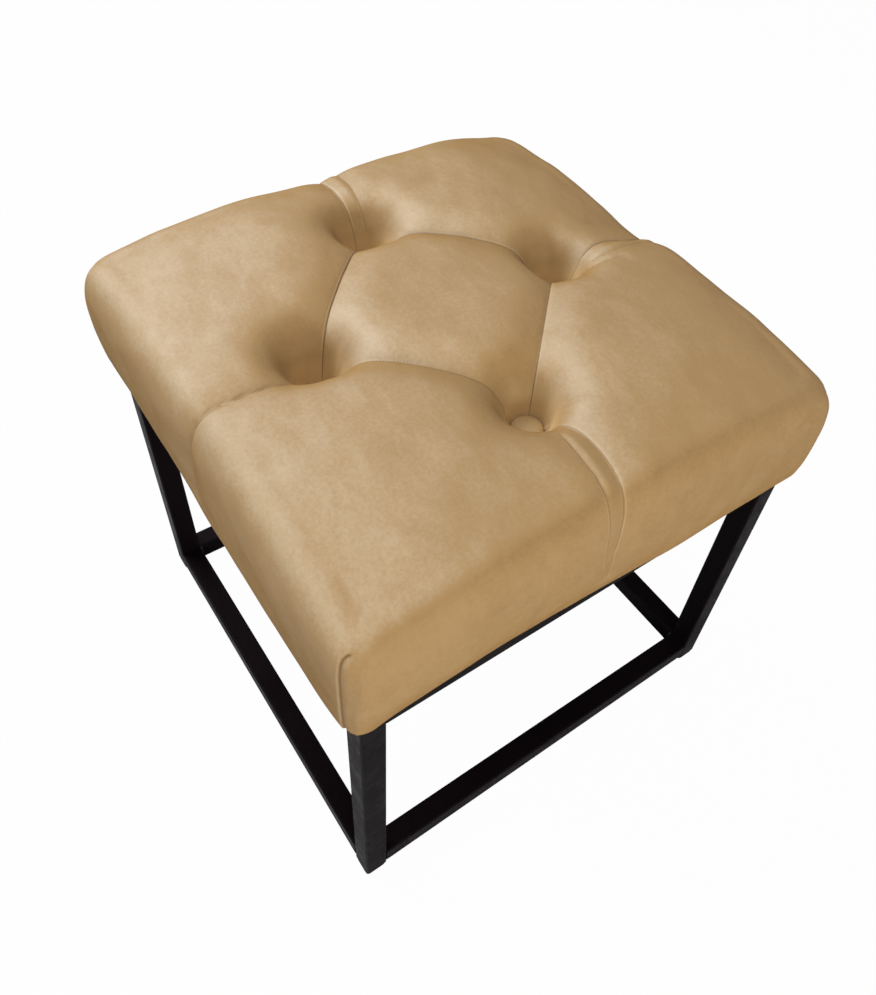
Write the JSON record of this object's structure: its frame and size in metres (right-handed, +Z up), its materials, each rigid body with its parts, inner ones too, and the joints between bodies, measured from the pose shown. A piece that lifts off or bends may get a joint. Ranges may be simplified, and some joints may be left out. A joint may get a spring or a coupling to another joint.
{
  "type": "pouf",
  "caption": "Low square pouf: a button-tufted velvet cushion with pleats between its buttons, screwed to an open cube frame of square steel tube.",
  "frame": {"origin": "on the floor, in the middle of the footprint: the bottom centre of the bounding box", "axes": "+Z up. The four corners point along the diagonals of X and Y: the corner nearest the picture's camera is (-X, -Y), the one at the picture's right is (+X, -Y). The front side is -Y."},
  "size_m": [0.4288, 0.4288, 0.4243],
  "materials": {
    "frame_steel": "black powder coat, satin, a little orange peel",
    "foot_plastic": "moulded, matt",
    "plywood": "sanded birch plywood with layered edges",
    "foam": "open-cell polyurethane foam, cut faces",
    "wadding": "fluffy polyester fibre",
    "velvet": "short-pile velvet with a pale nap sheen",
    "twine": "twisted waxed twine",
    "washer_plastic": "moulded, matt",
    "zinc": "bright zinc plate",
    "dust_cloth": "spun-bonded black cloth"
  },
  "bodies": {
    "root": {"leg_front": "frame_steel", "leg_right": "frame_steel", "leg_back": "frame_steel", "leg_left": "frame_steel", "lower_rail_front": "frame_steel", "lower_rail_right": "frame_steel", "lower_rail_back": "frame_steel", "lower_rail_left": "frame_steel", "upper_rail_front": "frame_steel", "upper_rail_right": "frame_steel", "upper_rail_back": "frame_steel", "upper_rail_left": "frame_steel", "lower_welds": "frame_steel", "upper_welds": "frame_steel", "foot_front": "foot_plastic", "foot_right": "foot_plastic", "foot_back": "foot_plastic", "foot_left": "foot_plastic", "seat_board": "plywood", "seat_foam": "foam", "seat_wadding": "wadding", "velvet_cover": "velvet", "button_left": "velvet", "button_front": "velvet", "button_right": "velvet", "button_back": "velvet", "tufting_twine": "twine", "twine_washers": "washer_plastic", "seat_screws": "zinc", "cover_staples": "zinc", "dust_cover": "dust_cloth", "dust_cover_staples": "zinc"}
  },
  "joints": []
}
